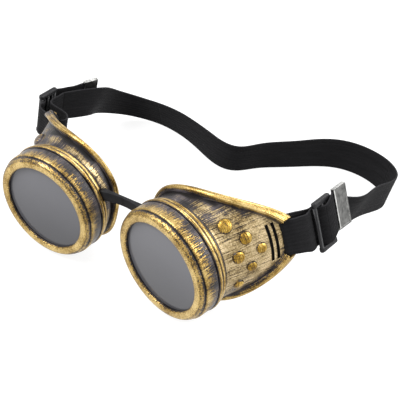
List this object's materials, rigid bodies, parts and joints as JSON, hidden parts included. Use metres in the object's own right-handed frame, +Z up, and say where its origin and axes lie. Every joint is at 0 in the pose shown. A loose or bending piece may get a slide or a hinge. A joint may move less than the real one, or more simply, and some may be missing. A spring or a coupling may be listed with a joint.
{
  "type": "round goggles",
  "caption": "Round goggles with swept eye cups, unscrewing lens rings, smoked lenses, a soft nose bridge and an adjustable elastic head strap.",
  "frame": {"origin": "midway between the two lens centres, level with both lens axes and in the plane of the rings' front lips", "axes": "+Z up, -Y the way the lenses look, +X towards the cup named right, which is the right one as seen from in front; the table the goggles rest on is at Z = -31 mm"},
  "size_m": [0.1887, 0.1639, 0.0625],
  "materials": {
    "aged_gold_ring": "moulded plastic, antique gold paint brushed over dark grey",
    "aged_gold_cup": "moulded plastic, dark ground with dry-brushed gold",
    "aged_gold_rim": "moulded plastic, bright gold paint rubbed through in places",
    "smoked_lens": "polished smoked sheet",
    "clear_lens": "polished clear sheet",
    "black_rubber": "matt soft rubber",
    "elastic": "ribbed woven elastic webbing",
    "black_plastic": "satin moulded plastic",
    "bright_steel": "plated folded sheet"
  },
  "bodies": {
    "headband": {"nose_bridge": "black_rubber", "strap_left": "elastic", "strap_back": "elastic", "strap_right": "elastic"},
    "right_cup": {"right_collar": "aged_gold_cup", "right_cup_wall": "aged_gold_cup", "right_face_rim": "aged_gold_rim", "right_strap_loop": "elastic", "right_end_clip": "bright_steel"},
    "right_lens_stack": {"right_dark_lens": "smoked_lens", "right_clear_lens": "clear_lens", "right_gasket": "black_rubber"},
    "right_ring": {"right_retaining_ring": "aged_gold_ring"},
    "right_slide": {"right_buckle": "black_plastic"},
    "left_cup": {"left_collar": "aged_gold_cup", "left_cup_wall": "aged_gold_cup", "left_face_rim": "aged_gold_rim", "left_strap_loop": "elastic", "left_end_clip": "bright_steel"},
    "left_lens_stack": {"left_dark_lens": "smoked_lens", "left_clear_lens": "clear_lens", "left_gasket": "black_rubber"},
    "left_ring": {"left_retaining_ring": "aged_gold_ring"},
    "left_slide": {"left_buckle": "black_plastic"}
  },
  "joints": [
    {"name": "right_fold", "type": "hinge", "parent": "headband", "child": "right_cup", "pos_m": [0.005, 0.0189, 0.0088], "axis": [0, 0, 1], "range_deg": [-15, 30], "stiffness_Nm_per_rad": 0.0015, "deforming": ["nose_bridge", "strap_right"]},
    {"name": "right_lens_slide", "type": "slide", "parent": "right_cup", "child": "right_lens_stack", "axis": [-0.1599, -0.9871, 0], "range_m": [0, 0.004]},
    {"name": "right_ring_turn", "type": "hinge", "parent": "right_lens_stack", "child": "right_ring", "pos_m": [0.0364, 0, 0], "axis": [-0.1599, -0.9871, 0], "range_deg": [0, 720]},
    {"name": "right_buckle_slide", "type": "slide", "parent": "right_cup", "child": "right_slide", "axis": [0.0942, 0.9953, -0.0221], "range_m": [-0.006, 0.0015], "deforming": ["right_strap_loop", "strap_right"]},
    {"name": "left_fold", "type": "hinge", "parent": "headband", "child": "left_cup", "pos_m": [-0.005, 0.0178, 0.0095], "axis": [0, 0, -1], "range_deg": [-15, 30], "stiffness_Nm_per_rad": 0.0015, "deforming": ["nose_bridge", "strap_left"]},
    {"name": "left_lens_slide", "type": "slide", "parent": "left_cup", "child": "left_lens_stack", "axis": [0.0523, -0.9986, 0], "range_m": [0, 0.004]},
    {"name": "left_ring_turn", "type": "hinge", "parent": "left_lens_stack", "child": "left_ring", "pos_m": [-0.0364, 0, 0], "axis": [0.0523, -0.9986, 0], "range_deg": [0, 720]},
    {"name": "left_buckle_slide", "type": "slide", "parent": "left_cup", "child": "left_slide", "axis": [-0.0016, 0.9999, -0.0129], "range_m": [-0.004, 0.004], "deforming": ["left_strap_loop", "strap_left"]}
  ],
  "couplings": [
    {"joint": "right_ring_turn", "follows": "right_lens_slide", "rad_per_m": 3141.5},
    {"joint": "left_ring_turn", "follows": "left_lens_slide", "rad_per_m": 3141.5}
  ]
}
